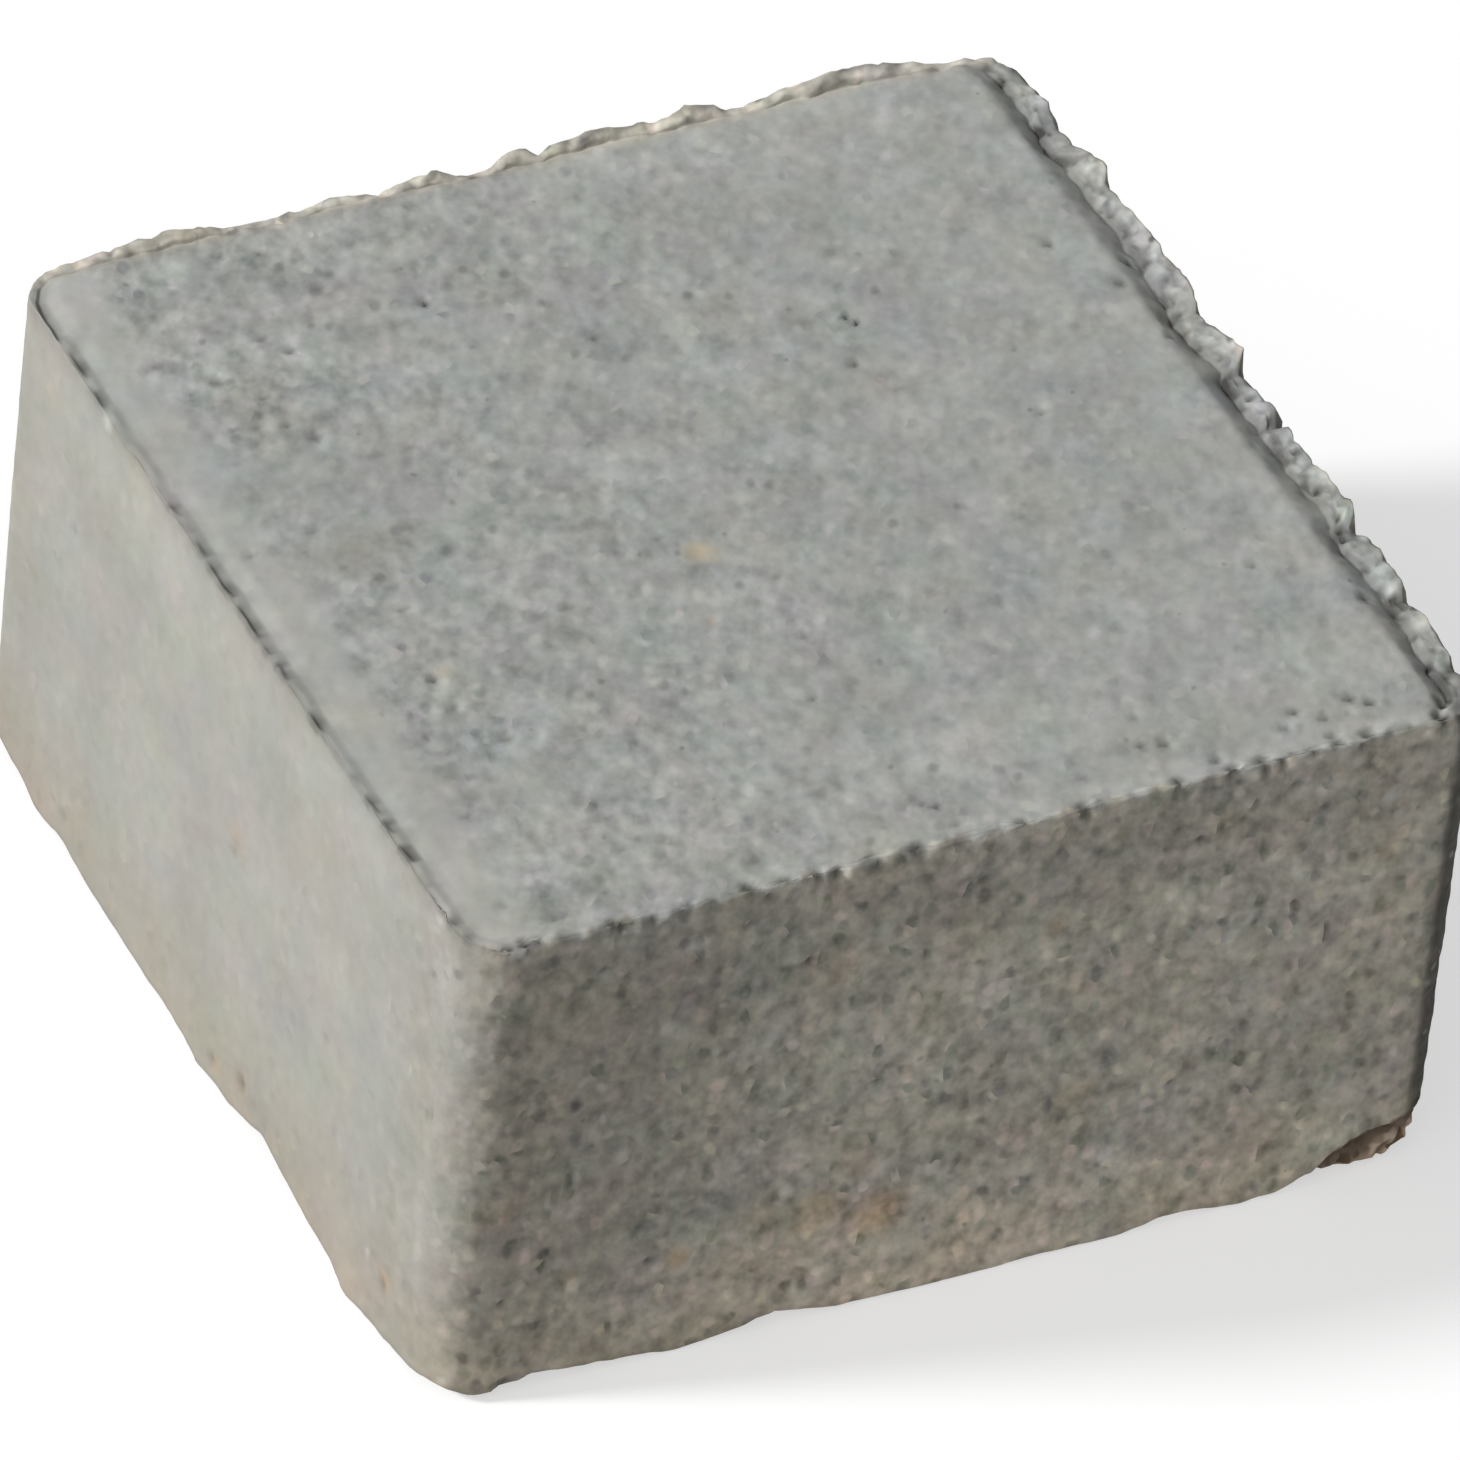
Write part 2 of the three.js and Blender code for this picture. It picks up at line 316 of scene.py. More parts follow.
PITS = (
    top_spots(
        (-47.1, 68.7, 1.3, 0.7), (-24.7, 50.3, 1.4, 1.0), (-34.2, 60.5, 1.4, 0.4), (-6, 35.7, 1.2, 0.7),
        (28.3, 28.2, 1.2, 0.9), (28.8, 26.4, 1.2, 1.0), (25.1, 18.5, 1.2, 0.7), (47.1, 14, 1.1, 0.4),
        (44.7, 0.5, 1.1, 0.5), (61.5, 32.9, 1.3, 0.8), (66.7, 22.5, 1.4, 0.8), (70.5, 26.5, 1.4, 0.9),
        (72.2, -26, 1.6, 1.3), (73, -32, 1.4, 1.2), (72.6, -33.8, 1.5, 1.3), (72.4, -35.4, 1.3, 1.2),
        (73.4, -5.5, 1.4, 1.1), (73.7, -11.5, 1.3, 1.1), (73.8, -18, 1.3, 1.0), (68.5, 10, 1.3, 0.6),
        (68.4, -47.8, 1.5, 0.8), (74.1, -42.7, 1.3, 0.8), (73.4, -1.7, 1.2, 0.7), (72.6, -16, 1.1, 0.7),
        (73, 60.5, 1.2, 0.8), (57.1, -37.5, 1.2, 0.6), (32.2, -17.5, 1.3, 0.4), (21.5, -32.7, 1.4, 0.4),
        (-6.3, -30, 1.2, 0.5), (-10.2, -42.5, 1.1, 0.5), (-16.1, -5.7, 1.2, 0.5), (-20.8, 0.2, 2.2, 0.3),
        (-33.1, -14.3, 1.3, 0.4), (-48.2, 5, 1.7, 0.45), (-46.5, 8.2, 1.5, 0.4), (-54.8, -7, 1.4, 0.5),
        (-56.1, -21, 1.5, 0.9), (-56.9, -18.7, 1.3, 0.4), (-56.3, -27.5, 1.3, 0.5),
        (-61.5, -31.2, 1.4, 0.4), (-52, -35.5, 1.7, 0.6), (-63.9, -48.4, 1.4, 0.35),
        (-36.5, -42.5, 1.5, 0.4), (-57.7, 44.3, 1.5, 0.8), (-48.5, 51.3, 1.4, 0.6),
        (-46.4, 47.4, 1.3, 0.6), (-63.5, 50.3, 1.3, 0.4), (-53.4, 39.4, 1.3, 0.5),
        (-56.9, 34.3, 1.4, 0.5), (-53.3, 33, 1.4, 0.7), (-50.5, 29.3, 1.5, 0.6), (-58.9, 12, 1.3, 0.45),
        (-37, 58, 1.6, 0.5), (-39.5, 23.5, 1.2, 0.4), (-13, 17, 1.4, 0.3), (-68.7, 10.2, 1.2, 0.45),
        (-66.5, -66, 1.4, 0.4), (-61.8, -70.3, 1.3, 0.6), (-53, -68.4, 1.3, 0.4), (-9, -66.6, 1.2, 0.35),
        (-6.1, -66.8, 1.2, 0.55), (-4, -67.6, 1.3, 0.9), (-3.2, -71.8, 1.2, 0.55),
        (16.3, -69.1, 1.2, 0.45), (26.2, -65.9, 1.3, 0.7), (30.3, -66.8, 1.3, 0.8), (34.9, -72, 1.4, 0.8),
        (28.6, -60.2, 1.2, 0.4), (49.4, -66.2, 1.3, 0.8), (46.2, -68.7, 1.2, 0.6),
        (52.6, -68.9, 1.3, 0.7), (51.8, -72.2, 1.2, 0.7), (57.2, -66.1, 1.3, 0.9),
        (59.5, -68.2, 1.3, 0.9), (55.9, -69.3, 1.1, 0.5), (69.2, -70, 1.2, 0.8), (-71.1, -74.2, 1.2, 0.7),
        (-69.2, -74, 1.4, 0.9), (-67.2, -74, 1.6, 1.0), (-65.2, -74.2, 1.4, 0.8),
        (-54.8, -73.8, 1.5, 1.0), (-43.5, -74.2, 1.3, 0.9), (-34.5, -73.9, 1.9, 1.0),
        (-29.2, -74.2, 1.3, 0.9), (-9.7, -73.9, 1.8, 1.0), (0.2, -74.5, 1.3, 0.6), (5.4, -74.2, 1.3, 0.8),
        (14.1, -74, 1.4, 1.0), (28.5, -73.6, 1.4, 0.9), (36.1, -74.2, 1.4, 0.9), (40.7, -74, 1.4, 0.9),
        (51.9, -74.3, 1.3, 0.8), (56.4, -73.9, 1.5, 0.9), (67.6, -73.4, 1.5, 1.0),
        (67.7, -74.6, 1.8, 1.0), (69.3, -71.3, 1.2, 1.0),
    )
    + left_spots(
        (-50, 54.2, 1.6, 0.35), (5, 43.5, 2.0, 0.2), (4.6, 41, 1.5, 0.3), (-60.5, 38, 1.8, 0.15),
        (2.5, 26.5, 1.6, 0.2), (16.5, 17.5, 1.6, 0.15), (35.5, 34.5, 1.5, 0.25), (66.8, 46.5, 1.4, 0.3),
        (-46.5, 6.5, 1.8, 0.35), (12.5, 6, 1.9, 0.6), (4, 4, 1.6, 0.4), (58.5, 8.5, 1.8, 0.45),
        (64, 80, 1.3, 0.8),
    )
    + front_spots(
        (-66.5, 16.5, 1.3, 0.8), (-44.5, 18, 1.4, 0.8), (-42, 22, 1.3, 0.5), (-38.8, 24.5, 1.4, 0.5),
        (-32.5, 47.5, 1.2, 0.7), (20.5, 46, 1.1, 0.4), (-50.5, 34, 1.3, 0.5), (4, 32.5, 1.2, 0.4),
        (41, 33, 1.2, 0.4), (-64.5, 2.2, 2.2, 1.0), (-42.3, 69.7, 1.3, 0.6), (-38.4, 66.8, 1.3, 0.6),
        (-28.5, 69.9, 1.3, 0.6), (-24.9, 64.6, 1.4, 0.9), (0, 72.1, 1.5, 0.7), (17.1, 71.1, 1.3, 0.6),
        (28.8, 72.1, 1.4, 0.7), (32.2, 68.8, 1.5, 0.9), (45.3, 74.7, 1.4, 0.7), (38, 71, 1.3, 0.7),
        (63.5, 76.7, 1.4, 0.6), (-63.8, 74.4, 1.4, 0.6), (-61.2, 79.4, 1.7, 0.6), (-53.3, 78.8, 1.4, 0.9),
        (-49, 79, 1.4, 0.7), (-32.3, 77.8, 1.4, 0.8), (-25.3, 79.5, 1.4, 0.8), (-22.2, 79.4, 1.5, 1.0),
        (-16.1, 78.8, 1.6, 0.9), (-9.7, 79, 1.4, 0.8), (14.1, 79, 1.3, 0.8), (27.7, 79, 1.4, 0.7),
        (36.1, 79, 1.4, 0.8), (40.7, 78.6, 1.4, 0.9), (43.5, 79, 1.4, 0.8), (48.4, 79.5, 1.4, 0.8),
        (55.7, 78.3, 1.4, 0.8), (67.6, 79, 1.4, 1.0),
    )
)

STONES = (
    top_spots(
        (-37.5, 53.5, 3.2, 0.5), (-27.5, 56.5, 3.2, 0.5), (-34.5, 29.2, 2.2, 0.4), (-28, 44, 2.6, 0.35),
        (-2, -1.7, 2.2, 0.7), (8.5, 4.8, 1.8, 0.5), (20, 22.5, 2.4, 0.6), (32.1, 39.5, 1.6, 0.9),
        (4.8, 24, 2.4, 0.35), (35.5, -4.2, 2.2, 0.4), (38.3, 60.8, 1.5, 0.7), (45, -43, 3.4, 0.5),
        (42, -30.5, 2.4, 0.35), (44, -18.5, 2.8, 0.35), (52.5, -29.5, 3.2, 0.4), (2, -57, 2.8, 0.4),
        (-58.5, 18.2, 1.4, 0.9), (-52, 13.8, 1.3, 0.8), (-65.6, 43.9, 1.4, 0.9), (-55.2, 32.8, 1.4, 0.8),
        (-62.9, -19.2, 2.4, 0.5), (-60, -23.1, 1.4, 0.8), (-58.8, -27.6, 1.6, 0.9), (10.2, -66.9, 1.5, 0.8),
        (29, -70.9, 1.6, 0.7), (-45, -57, 1.7, 0.5), (-33, -57, 1.7, 0.5), (-64.9, -70.7, 1.4, 0.6),
    )
    + left_spots((-42.5, 78.9, 2.1, 1.0), (64, 78.2, 1.5, 0.8), (29, 52, 1.8, 0.4), (3, 52, 2.4, 0.3))
    + front_spots(
        (61, 69, 2.0, 0.9), (22.5, 61.7, 1.4, 0.6), (-43, 73.2, 1.8, 0.7), (-41.5, 73.2, 1.4, 0.6),
        (-55.5, 72.3, 1.7, 0.7), (-56.2, 76.7, 1.5, 0.7), (-45, 59.2, 1.4, 0.6), (-43.4, 58.8, 1.3, 0.6),
        (14, 45, 1.6, 0.5), (48, 26, 2.0, 0.4), (-20, 4.5, 2.2, 0.4), (-44.5, 23, 1.4, 0.6),
        (29, 5.5, 2.2, 0.4), (46.5, 73, 1.7, 0.5), (57, 15.2, 1.3, 0.6), (59.5, 15, 1.4, 0.6),
        (62, 14.4, 1.3, 0.6), (62, 73, 1.4, 0.6), (64.5, 74.5, 1.4, 0.6), (33, 72.2, 1.4, 0.7),
        (61.5, 3.9, 1.9, 0.7), (65, 6, 1.8, 0.6), (68.2, 5.1, 1.8, 0.7), (72, 6.5, 1.6, 0.6),
    )
)

STAINS = (
    top_spots((-16.5, -23.5, 1.6, 0.4), (-55, -20.5, 2.2, 0.3))
    + left_spots(
        (5, 44, 4.0, 0.3), (-60, 70, 5.0, 0.25), (12.5, 6, 3.5, 0.6), (5, 3.5, 4.0, 0.6),
        (58.5, 9.5, 3.5, 0.8), (33, 2.5, 4.0, 0.4), (-30, 3, 3.5, 0.4), (50, 1, 4.0, 0.4),
    )
    + front_spots(
        (-40, 17, 3.0, 0.9), (-20, 19, 7.0, 0.7), (-11, 16, 7.0, 0.8), (-28, 21, 6.0, 0.4),
        (-15, 26, 6.0, 0.4), (12, 61, 2.6, 0.5), (17.5, 28.5, 4.5, 0.4), (60.5, 59, 3.0, 0.5),
        (-56, 19, 2.6, 0.5), (-61, 53.5, 2.4, 0.4), (35, 71, 4.0, 0.3), (-20, 62, 5.0, 0.3),
        (60, 35, 5.0, 0.3), (-68, 33, 6.0, 0.4),
    )
)

RUST = top_spots((-11.5, -10.2, 3.8, 0.6),)

PIT_DEPTH = 0.8

# How high the bulges of the foot reach
BULGE_HEIGHT = 12.0


# Form


# Steps of the wearing grid and the bed grid
GRID_STEPS = 168
BED_STEPS = 56

# Rows of the skirt on each stretch of the section, from the wearing face outwards and down
CHAMFER_ROWS = 6
FLANK_ROWS = 4
BURR_ROWS = 8
SHOULDER_ROWS = 4
SIDE_ROWS = 74
ARRIS_ROWS = 4
STRETCH_ROWS = (CHAMFER_ROWS, FLANK_ROWS, BURR_ROWS, SHOULDER_ROWS, SIDE_ROWS, ARRIS_ROWS)
CREST_ROW = CHAMFER_ROWS + FLANK_ROWS + BURR_ROWS
RIM_ROWS = CREST_ROW + SHOULDER_ROWS
SKIRT_ROWS = sum(STRETCH_ROWS)

# The middle of the rows on which the burr's top turns over, and how many lie on either side
BRINK_ROW = CREST_ROW - 3
BRINK_REACH = 6

# The stretches of the section, in the same order. The rings that they start at have these numbers
# too, so ring FLANK is the bottom of the groove.
CHAMFER, FLANK, BURR, SHOULDER, SIDE, ARRIS = range(6)

# How rounded two of the stretches are, and limits that keep the section sound
CHAMFER_ROUNDING = 1.3
ARRIS_ROUNDING = 1.4
LEAST_RADIUS = 0.5
LEAST_ARRIS = 0.35
NO_INSETS = (0, 0, 0, 0)

# How much wider than high the lower arris is, how much a gap lowers the crest, and how the burr's
# inner edge follows the groove and the crest
ARRIS_SPREAD = 1.25
GAP_DROP = 0.8
EDGE_SINK = 0.35
EDGE_LIFT = 0.4


def clamped(value, low=0.0, high=1.0):
    return max(low, min(high, value))


def eased(value, low, high):
    """0 at low, 1 at high, smooth in between, and no further outside."""
    part = clamped((value - low) / (high - low))
    return part * part * (3 - 2 * part)


def faded(value, low, high):
    """1 at low, 0 at high, smooth in between, and no further outside."""
    return 1 - eased(value, low, high)


def bump(value, middle, half_width):
    """1 at the middle, falling smoothly to 0 at the half width."""
    near = min(1.0, abs(value - middle) / half_width)
    return (1 - near**2) ** 2


def along(knots, place):
    """The value between the two knots that a place lies between."""
    before = knots[0]
    for knot in knots:
        if knot[0] > place:
            span = knot[0] - before[0]
            part = (place - before[0]) / span if span > 0 else 0.0
            return before[1] + (knot[1] - before[1]) * part
        before = knot
    return before[1]


def sides_here(facing, spot):
    """The sides that count at a spot of the outline: side, weight and place along the side."""
    across = (RIGHT if facing.x > 0 else LEFT, facing.x**2, -spot.y)
    lengthways = (BACK if facing.y > 0 else FRONT, facing.y**2, spot.x)
    return [side for side in (across, lengthways) if side[1] > 0]


def rise(place, pitch, octaves=3, layer=0):
    """Smooth unevenness, from about -1 to 1, that differs from layer to layer."""
    return noise.fractal((place + Vector((0, 0, layer))) / pitch, 1.0, 2.0, octaves)


def grains(place, pitch):
    """Rounded grains with creases between them, from 0 to 1."""
    distances, _ = noise.voronoi(place / pitch)
    return max(0.0, 1.0 - distances[0] ** 2 * 1.6)


def hollows(place, pitch, radius, filled):
    """Round hollows at random places: 1 at the bottom of one, and 0 outside. filled is the share
    of the places that hold one."""
    distances, middles = noise.voronoi(place / pitch)
    pick = noise.noise(middles[0] * 17.3) * 0.5 + 0.5
    if pick > filled:
        return 0.0
    reach = radius / pitch * (0.6 + 0.8 * pick / max(filled, 0.01))
    near = min(1.0, distances[0] / reach)
    return (1.0 - near**2) ** 2


class Outline:
    """The rounded square that every level of the stone follows, in millimetres."""

    def __init__(self, sizes):
        self.half = Vector((sizes.length, sizes.width)) / 2 / MM
        self.radius = sizes.corner_radius / MM
        self.limit = self.half - Vector((self.radius, self.radius))

    def straight(self, place):
        """The nearest place to a place that is clear of the corners' rounding."""
        return Vector(clamped(value, -limit, limit) for value, limit in zip(place, self.limit))

    def facing(self, place):
        """The direction in which the outline faces at a place on the plain square's edge."""
        return (place - self.straight(place)).normalized()

    def point(self, place, insets):
        """Where a place on the plain square's edge lies, on the outline drawn in by the insets."""
        inset = Vector((
            insets[RIGHT if place.x > 0 else LEFT],
            insets[BACK if place.y > 0 else FRONT],
        ))
        radius = max(self.radius - min(inset), LEAST_RADIUS)
        middle = self.straight(place)
        for axis in range(2):
            middle[axis] *= (self.half[axis] - inset[axis] - radius) / self.limit[axis]
        return middle + self.facing(place) * radius


class Section:
    """The stone's section at one place on its outline, as a point on each ring, in millimetres."""

    def __init__(self, sizes, outline, place):
        self.facing = outline.facing(place)
        self.spot = outline.point(place, NO_INSETS)
        self.sides = sides_here(self.facing, self.spot)
        self.opening = sum(weight * self.opening_at(side, at) for side, weight, at in self.sides)
        height = sizes.height / MM
        spot = self.spot.to_3d()
        knots = self.knotted(CRESTS)
        grit = self.value(CREST_GRIT)
        gap = self.value(SCALLOPS) * (1 - grains(spot + Vector((0, 0, 70)), SCALLOP_PITCH))
        self.dip = eased(-knots, 0.2, 2.0)
        crest = self.size(sizes.crest_rises) + knots * self.value(CREST_SHARES) - GAP_DROP * gap
        crest += grit * (rise(spot, pitch=5) + 0.7 * rise(spot, pitch=1.9, octaves=2, layer=50))
        groove = self.size(sizes.groove_depths)
        foot = self.size(sizes.bed_arrises) + self.knotted(FEET)
        foot += 0.5 * rise(spot, pitch=9, octaves=4, layer=90)
        self.bulge = max(0.0, -foot)
        arris = max(LEAST_ARRIS, foot)

        drift = rise(spot, pitch=4, layer=20)
        wander = self.value(WANDER) * rise(spot, pitch=9, octaves=2, layer=110)
        broken_back = 0.25 * grit * drift + gap - knots * self.value(CREST_RETREATS)
        crest_insets, edge_insets, groove_insets, rim_insets = [], [], [], []
        widths = zip(sizes.crest_insets, sizes.burr_widths, sizes.burr_flanks, sizes.chamfer_widths)
        for inset, burr, flank, chamfer in widths:
            crest_insets.append(max(-0.1, inset / MM + broken_back))
            edge_insets.append((crest_insets[-1] + burr / MM) * (1 + 0.3 * drift) + wander)
            groove_insets.append(edge_insets[-1] + flank / MM)
            rim_insets.append((inset + burr + flank + chamfer) / MM)
        shoulder = height + crest - self.size(sizes.shoulder_drops) - gap
        levels = (
            (rim_insets, height),
            (groove_insets, height - groove * self.opening),
            (edge_insets, height - EDGE_SINK * groove + EDGE_LIFT * crest),
            (crest_insets, height + crest),
            (NO_INSETS, shoulder),
            (NO_INSETS, arris),
            ((ARRIS_SPREAD * arris,) * 4, 0.0),
        )
        self.rings = [outline.point(place, insets).to_3d() for insets, _ in levels]
        for ring, (_, level) in zip(self.rings, levels):
            ring.z = level

    def value(self, values):
        """A value that differs from side to side, blended round the corners."""
        return sum(weight * values[side] for side, weight, _ in self.sides)

    def size(self, values):
        """A size that differs from side to side, in millimetres."""
        return self.value(values) / MM

    def knotted(self, knots):
        """The height that the knots along each side give here."""
        return sum(weight * along(knots[side], at) for side, weight, at in self.sides)

    def share(self, wanted):
        """How much of the section belongs to a side, from 0 to 1."""
        return sum(weight for side, weight, _ in self.sides if side == wanted)

    @staticmethod
    def opening_at(side, at):
        """How far the groove is open at a place along a side, as a share of its depth."""
        if side != LEFT:
            return 1.0
        open_here = LEAST_OPENING
        for start, end, depth in CRACKS:
            inside = eased(at, start - 0.8, start + 0.8) * faded(at, end - 0.8, end + 0.8)
            open_here = max(open_here, depth * inside)
        return open_here

    def at_row(self, row):
        """The point at a row of the skirt."""
        stretch = CHAMFER
        while stretch < ARRIS and row > STRETCH_ROWS[stretch]:
            row -= STRETCH_ROWS[stretch]
            stretch += 1
        part = min(1.0, row / STRETCH_ROWS[stretch])
        low, high = self.rings[stretch], self.rings[stretch + 1]
        outwards, down = part, part
        if stretch == CHAMFER:
            outwards = 1 - (1 - part) ** CHAMFER_ROUNDING
            down = outwards**CHAMFER_ROUNDING
        elif stretch == SHOULDER:
            outwards = math.sin(part * math.pi / 2)
        elif stretch == ARRIS:
            outwards = part**ARRIS_ROUNDING
        point = low.lerp(high, outwards)
        point.z = low.z + (high.z - low.z) * down
        return point


def plain_block(bm, outline):
    """A plain square wearing grid, a skirt in rows below it, and a bed grid that closes it.

    Heights only number the rows: the wearing face is at 0, and each row lies 1 lower."""
    bmesh.ops.create_grid(bm, x_segments=GRID_STEPS, y_segments=GRID_STEPS, size=1)
    bmesh.ops.scale(bm, verts=bm.verts, vec=(*outline.half, 1))
    edge = [e for e in bm.edges if e.is_boundary]
    skirt = bmesh.ops.extrude_edge_only(bm, edges=edge)["geom"]
    hem = [part for part in skirt if isinstance(part, bmesh.types.BMVert)]
    bmesh.ops.translate(bm, verts=hem, vec=(0, 0, -SKIRT_ROWS))
    upright = [e for e in bm.edges if abs(e.verts[0].co.z - e.verts[1].co.z) > 1]
    bmesh.ops.subdivide_edges(bm, edges=upright, cuts=SKIRT_ROWS - 1, use_grid_fill=True)
    hem_edge = [e for e in bm.edges if e.is_boundary]

    bed = bmesh.ops.create_grid(bm, x_segments=BED_STEPS, y_segments=BED_STEPS, size=1)["verts"]
    bmesh.ops.scale(bm, verts=bed, vec=(*outline.half, 1))
    bmesh.ops.translate(bm, verts=bed, vec=(0, 0, -SKIRT_ROWS - 1))
    bed_points = set(bed)
    bed_edge = [e for e in bm.edges if e.is_boundary and e.verts[0] in bed_points]
    bmesh.ops.bridge_loops(bm, edges=hem_edge + bed_edge)
    bmesh.ops.recalc_face_normals(bm, faces=bm.faces)


class Shaping:
    """Shapes the numbered rows of the plain block, and notes what the colours need to know."""

    ATTRIBUTES = ("top", "smooth", "dust", "open", "crumbly", "grime_and_shade", "broken", "pale", "rust")

    def __init__(self, bm, sizes, outline):
        self.bm = bm
        self.sizes = sizes
        self.outline = outline
        self.face = sizes.height / MM
        self.sections = {}
        self.layers = {name: bm.verts.layers.float.new(name) for name in self.ATTRIBUTES}
        self.cast = bm.verts.layers.float_vector.new("cast")
        self.outwards = {}
        self.rows = {vert: -vert.co.z for vert in bm.verts}
        self.places = {vert: vert.co.xy for vert in bm.verts}

    def section(self, place):
        key = (round(place.x, 4), round(place.y, 4))
        if key not in self.sections:
            self.sections[key] = Section(self.sizes, self.outline, place)
        return self.sections[key]

    def section_of(self, vert):
        """The section that a point belongs to, and how far out from the middle it lies."""
        plain = self.places[vert]
        half = self.outline.half
        reach = max(abs(plain.x) / half.x, abs(plain.y) / half.y)
        if reach < 1e-6:
            return None, 0.0
        return self.section(plain / reach), reach

    def place_rows(self):
        """Moves each point to its place on the section."""
        for vert in self.bm.verts:
            row = self.rows[vert]
            cut, reach = self.section_of(vert)
            if 0 < row <= SKIRT_ROWS:
                vert.co = cut.at_row(row)
                lift = clamped(1 - vert.co.z / BULGE_HEIGHT)
                vert.co += cut.facing.to_3d() * cut.bulge * lift**2
            elif cut is None:
                vert.co = (0, 0, 0 if row else self.face)
            else:
                ring = cut.rings[-1 if row else 0]
                vert.co = (ring.x * reach, ring.y * reach, ring.z)

    def spall(self):
        """Pushes the points round the lower front right corner in to the broken face."""
        middle_at, middle_z = SPALL_MIDDLE
        reach_at, reach_z = SPALL_REACH
        limit, radius = self.outline.limit, self.outline.radius
        for vert in self.bm.verts:
            cut, reach = self.section_of(vert)
            if cut is None or self.rows[vert] <= 0 or cut.spot.x <= 0 or cut.spot.y >= 0:
                continue
            turned = math.atan2(cut.facing.x, -cut.facing.y)
            at = min(cut.spot.x, limit.x) + radius * turned + max(0.0, cut.spot.y + limit.y)
            z = vert.co.z
            room = 1 - ((at - middle_at) / reach_at) ** 2 - ((z - middle_z) / reach_z) ** 2
            if room <= 0:
                continue
            place = vert.co.copy()
            depth = SPALL_DEPTH + SPALL_CORNER * bump(at, middle_at, 10.0) * clamped(1 - z / 10)
            stones = grains(place, SPALL_STONE_PITCH)
            depth += SPALL_STONE_HEIGHT * (0.5 - stones) + 0.3 * rise(place, pitch=1.5, octaves=2)
            depth *= eased(room, 0.0, 0.16)
            inwards = (1 - reach) * self.outline.half.x
            vert.co -= cut.facing.to_3d() * depth * clamped(1 - inwards / SPALL_FADE)
            vert[self.layers["broken"]] = eased(room, 0.01, 0.08)
            # Painted shadow under the upper ledge of the spall, and painted shade in the creases between
            # its stones
            ledge = faded(room, 0.5, 0.82) * eased(z, 0.5, 2.5)
            vert[self.layers["grime_and_shade"]] = max(0.9 * ledge, 0.8 * faded(stones, 0.25, 0.65))

    def relief(self):
        """Roughens the skin."""
        self.bm.normal_update()
        moves = []
        for vert in self.bm.verts:
            row = self.rows[vert]
            place = vert.co.copy()
            cut, _ = self.section_of(vert)
            outwards = Vector((0, 0, 1))
            if row <= 0:
                height, grime_and_shade = self.wearing_relief(place)
            elif row > SKIRT_ROWS:
                height, grime_and_shade = self.bed_relief(place)
                outwards = Vector((0, 0, -1))
            elif row <= RIM_ROWS:
                height, grime_and_shade = self.rim_relief(cut, row, place)
                turn = eased(row, CHAMFER_ROWS, RIM_ROWS)
                outwards = outwards.lerp(cut.facing.to_3d(), turn).normalized()
            else:
                height, grime_and_shade = self.side_relief(cut, place)
                outwards = vert.normal.copy()
            moves.append((vert, height, grime_and_shade))
            self.outwards[vert] = outwards
        grime_and_shade_of = self.layers["grime_and_shade"]
        for vert, height, grime_and_shade in moves:
            vert.co += self.outwards[vert] * height * (1 - vert[self.layers["broken"]])
            vert[grime_and_shade_of] = max(grime_and_shade, vert[grime_and_shade_of])
        self.bm.normal_update()
        self.mark("pale", STONES)
        self.mark("rust", RUST)
        for vert, weight in self.mark("grime_and_shade", PITS):
            vert.co -= self.outwards[vert] * PIT_DEPTH * weight
        for vert in self.bm.verts:
            vert.co.z = max(vert.co.z, 0.0)

    def mark(self, layer, spots):
        """Notes round spots on the skin, and gives back the points in them with their weights."""
        tree = kdtree.KDTree(len(self.bm.verts))
        self.bm.verts.ensure_lookup_table()
        for vert in self.bm.verts:
            tree.insert(vert.co, vert.index)
        tree.balance()
        marked = {}
        for place, radius, strength in spots:
            middle = tree.find(place)[0]
            for _, index, away in tree.find_range(middle, radius):
                spot = self.bm.verts[index].co
                away *= 1 + 0.4 * noise.noise(spot / 1.6)
                weight = strength * eased(1 - away / radius, 0.0, 0.9)
                marked[index] = max(marked.get(index, 0.0), weight)
        spot_layer = self.layers[layer]
        points = [(self.bm.verts[index], weight) for index, weight in marked.items()]
        for vert, weight in points:
            vert[spot_layer] = max(vert[spot_layer], weight)
        return points

    def wearing_relief(self, place):
        """Height of the wearing face at a place, and the painted shade in its pits."""
        height = 0.06 * rise(place, pitch=30) + 0.03 * grains(place, pitch=1.9)
        pit = hollows(place, pitch=4.2, radius=1.5, filled=0.1 + 0.4 * self.wearing_open(place))
        return height - 0.25 * pit, 0.35 * pit

    def bed_relief(self, place):
        """Height of the bed face, which only touches the ground round its edge; it gets no painted shade.
        """
        if place.xy.length > self.outline.limit.x:
            return 0.0, 0.0
        return -0.5 - 0.35 * rise(place, pitch=8), 0.0

    def rim_relief(self, cut, row, place):
        """Height of the chamfer, groove, burr and shoulder, and their dirt and painted shade in pores, the
        left groove and the right burr.
        """
        rough = cut.value(RIM_ROUGHNESS)
        lumps = grains(place, pitch=2.6)
        height = rough * (0.2 * rise(place, pitch=2.2) + 0.6 * (lumps - 0.5))
        pit = hollows(place, pitch=3.4, radius=1.1, filled=0.4)
        if row <= CHAMFER_ROWS:
            height *= 0.5 * row / CHAMFER_ROWS
            pit *= 0.4
        height -= 0.7 * rough * pit
